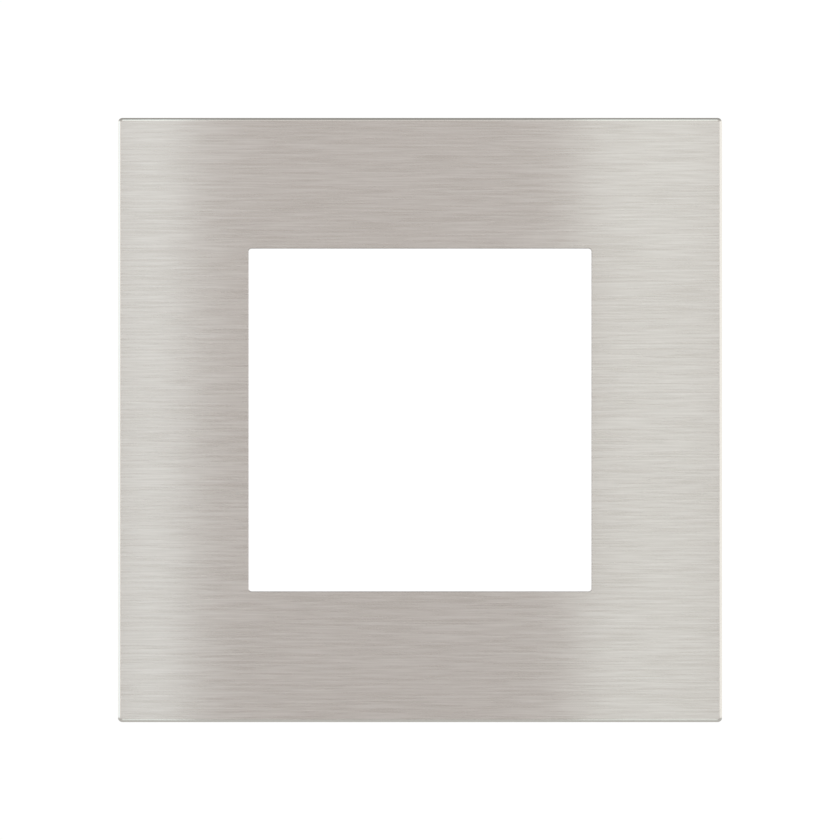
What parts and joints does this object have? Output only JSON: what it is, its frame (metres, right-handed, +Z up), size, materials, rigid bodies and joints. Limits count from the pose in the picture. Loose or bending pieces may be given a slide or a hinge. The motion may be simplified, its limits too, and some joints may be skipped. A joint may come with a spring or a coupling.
{
  "type": "wall switch cover frame",
  "caption": "Square brushed-metal cover frame for a rocker wall switch, with an open module window, clipped to a sprung mounting support with wall-box screws.",
  "frame": {"origin": "centre of the window, on the wall surface", "axes": "+Z up, the front faces -Y, +Y points into the wall"},
  "size_m": [0.08, 0.0275, 0.08],
  "materials": {
    "face_brushed_nickel": "fine horizontal brushing, rounded edges",
    "bonding_foam": "dull acrylic foam tape",
    "carrier_plastic": "fine spark-eroded moulding texture",
    "zinc_plated_steel": "bright zinc plating with faint spangle",
    "liner_plastic": "satin moulding",
    "spring_steel": "bright rolled strip",
    "latch_plastic": "slick acetal moulding",
    "spring_wire": "drawn wire",
    "screw_steel": "yellow-tinted zinc plating",
    "retainer_nylon": "natural nylon"
  },
  "bodies": {
    "support": {"support_plate": "zinc_plated_steel", "module_liner": "liner_plastic", "latch_spring_top_right": "spring_wire", "latch_spring_top_left": "spring_wire", "latch_spring_bottom_right": "spring_wire", "latch_spring_bottom_left": "spring_wire"},
    "cover": {"face_plate": "face_brushed_nickel", "bonding_tape": "bonding_foam", "carrier_frame": "carrier_plastic", "clip_spring_right": "spring_steel", "clip_spring_top": "spring_steel", "clip_spring_left": "spring_steel", "clip_spring_bottom": "spring_steel"},
    "latch_top_right": {"latch_top_right": "latch_plastic"},
    "latch_top_left": {"latch_top_left": "latch_plastic"},
    "latch_bottom_right": {"latch_bottom_right": "latch_plastic"},
    "latch_bottom_left": {"latch_bottom_left": "latch_plastic"},
    "box_screw_right": {"box_screw_right": "screw_steel", "screw_retainer_right": "retainer_nylon"},
    "box_screw_left": {"box_screw_left": "screw_steel", "screw_retainer_left": "retainer_nylon"}
  },
  "joints": [
    {"name": "cover_pull", "type": "slide", "parent": "support", "child": "cover", "axis": [0, -1, 0], "range_m": [0, 0.025], "deforming": ["clip_spring_right", "clip_spring_top", "clip_spring_left", "clip_spring_bottom"]},
    {"name": "latch_top_right_slide", "type": "slide", "parent": "support", "child": "latch_top_right", "axis": [0, 0, 1], "range_m": [0, 0.0014], "stiffness_N_per_m": 250, "springref_m": -0.001, "deforming": ["latch_spring_top_right"]},
    {"name": "latch_top_left_slide", "type": "slide", "parent": "support", "child": "latch_top_left", "axis": [0, 0, 1], "range_m": [0, 0.0014], "stiffness_N_per_m": 250, "springref_m": -0.001, "deforming": ["latch_spring_top_left"]},
    {"name": "latch_bottom_right_slide", "type": "slide", "parent": "support", "child": "latch_bottom_right", "axis": [0, 0, -1], "range_m": [0, 0.0014], "stiffness_N_per_m": 250, "springref_m": -0.001, "deforming": ["latch_spring_bottom_right"]},
    {"name": "latch_bottom_left_slide", "type": "slide", "parent": "support", "child": "latch_bottom_left", "axis": [0, 0, -1], "range_m": [0, 0.0014], "stiffness_N_per_m": 250, "springref_m": -0.001, "deforming": ["latch_spring_bottom_left"]},
    {"name": "box_screw_right_turn", "type": "hinge", "parent": "support", "child": "box_screw_right", "pos_m": [0.03, 0, 0], "axis": [0, -1, 0], "continuous": true},
    {"name": "box_screw_left_turn", "type": "hinge", "parent": "support", "child": "box_screw_left", "pos_m": [-0.03, 0, 0], "axis": [0, -1, 0], "continuous": true}
  ]
}
